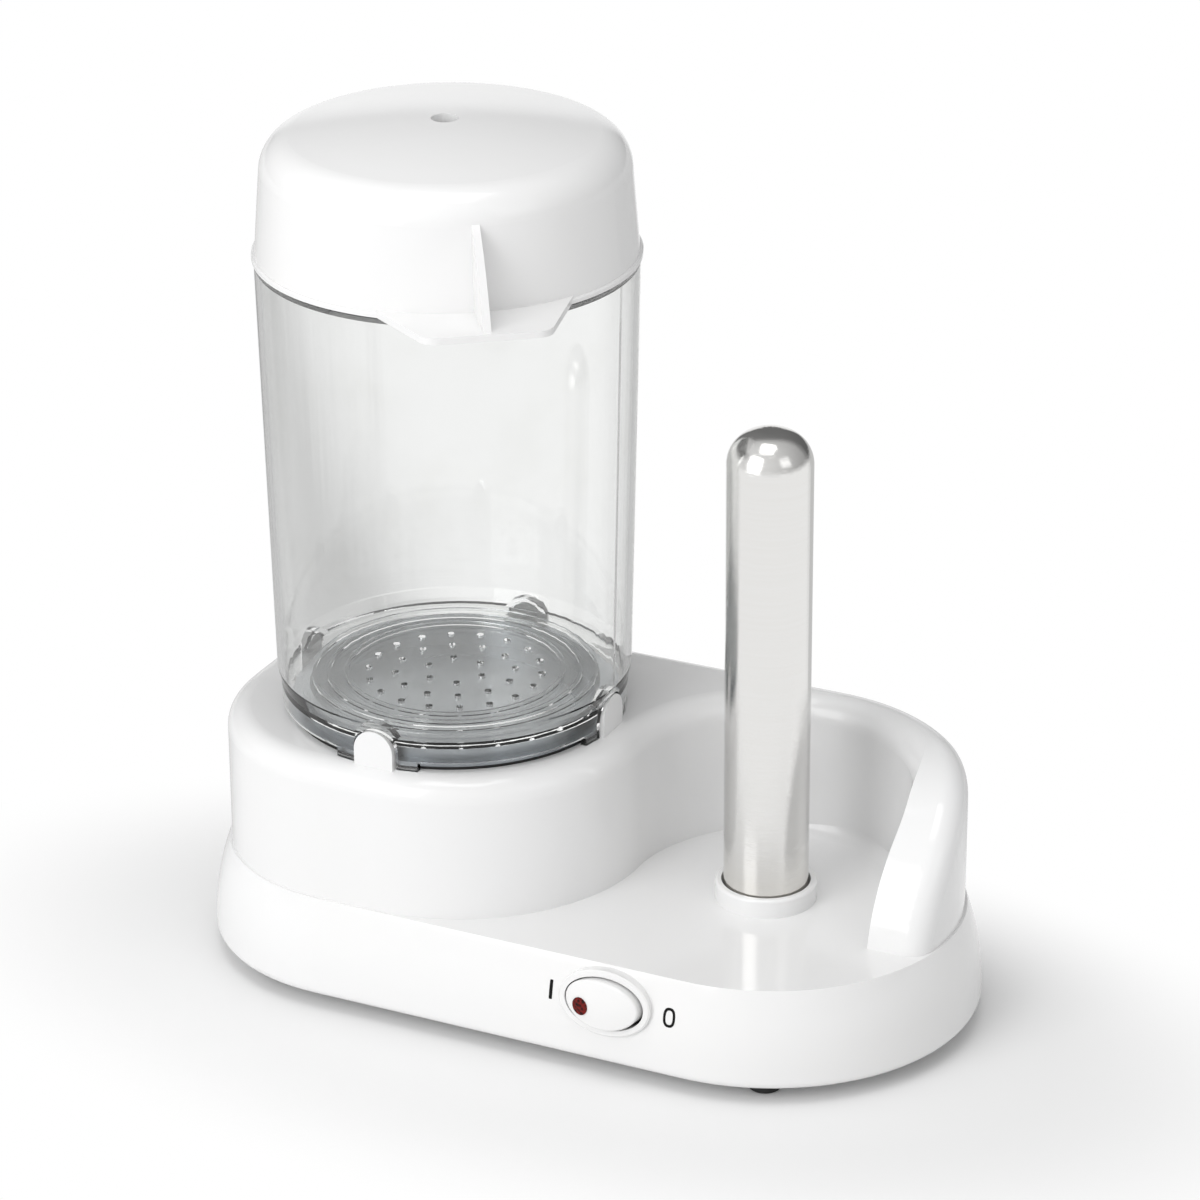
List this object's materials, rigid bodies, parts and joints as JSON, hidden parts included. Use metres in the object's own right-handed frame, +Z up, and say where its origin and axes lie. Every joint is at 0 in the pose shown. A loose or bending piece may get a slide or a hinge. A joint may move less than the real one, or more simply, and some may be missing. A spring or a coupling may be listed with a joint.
{
  "type": "hot dog maker",
  "caption": "Table-top hot dog maker: steam tower with a lidded clear container, heated upright spike in a low-walled bay, rocker switch in front.",
  "frame": {"origin": "middle of the whole part's box, on the surface that the rubber feet stand on", "axes": "+Z up, -Y towards the front with the switch, +X towards the spike"},
  "size_m": [0.2658, 0.1468, 0.2908],
  "materials": {
    "white_plastic": "smooth glossy white moulding",
    "plate_plastic": "fine matt white moulding",
    "clear_plastic": "clear moulded plastic",
    "dish_metal": "turned, slightly dull metal",
    "seal_rubber": "matt black",
    "foot_rubber": "matt black",
    "polished_tube": "polished",
    "heater_steel": "dull, heat-stained",
    "zinc_steel": "zinc plated",
    "brass": "plain",
    "red_window": "dark red, glossy",
    "lamp_glass": "small neon lamp",
    "black_plastic": "fine matt",
    "pale_plastic": "plain",
    "ceramic": "unglazed white ceramic",
    "fuse_metal": "plain",
    "live_sheath": "brown sheath",
    "neutral_sheath": "blue sheath",
    "earth_sheath": "green and yellow sheath"
  },
  "bodies": {
    "base": {"upper_housing": "white_plastic", "spike_collar": "white_plastic", "bottom_plate": "plate_plastic", "heating_dish": "dish_metal", "dish_seal": "seal_rubber", "rubber_feet": "foot_rubber", "cord_bush": "foot_rubber", "spike_tube": "polished_tube", "dish_heater": "heater_steel", "spike_heater": "heater_steel", "dish_bracket": "zinc_steel", "heat_shield": "zinc_steel", "spike_clamp": "zinc_steel", "dish_screws": "zinc_steel", "spike_screws": "zinc_steel", "housing_screws": "zinc_steel", "rocker_pin": "zinc_steel", "earth_screw": "zinc_steel", "terminal_screws": "brass", "switch_terminals": "brass", "earth_lug": "brass", "pilot_lamp": "lamp_glass", "switch_body": "black_plastic", "dish_thermostat": "black_plastic", "terminal_block": "pale_plastic", "spike_insulators": "ceramic", "thermal_fuse": "fuse_metal", "wires_live": "live_sheath", "wires_neutral": "neutral_sheath", "wire_earth": "earth_sheath"},
    "container": {"container": "clear_plastic"},
    "lid": {"lid": "white_plastic"},
    "rocker": {"rocker_button": "white_plastic", "rocker_lens": "red_window"}
  },
  "joints": [
    {"name": "container_lift", "type": "slide", "parent": "base", "child": "container", "axis": [0, 0, 1], "range_m": [0, 0.08]},
    {"name": "lid_lift", "type": "slide", "parent": "container", "child": "lid", "axis": [0, 0, 1], "range_m": [0, 0.06]},
    {"name": "rocker_tilt", "type": "hinge", "parent": "base", "child": "rocker", "pos_m": [0.0358, -0.06255, 0.02648], "axis": [0, 0.1045, 0.9945], "range_deg": [0, 10]}
  ]
}
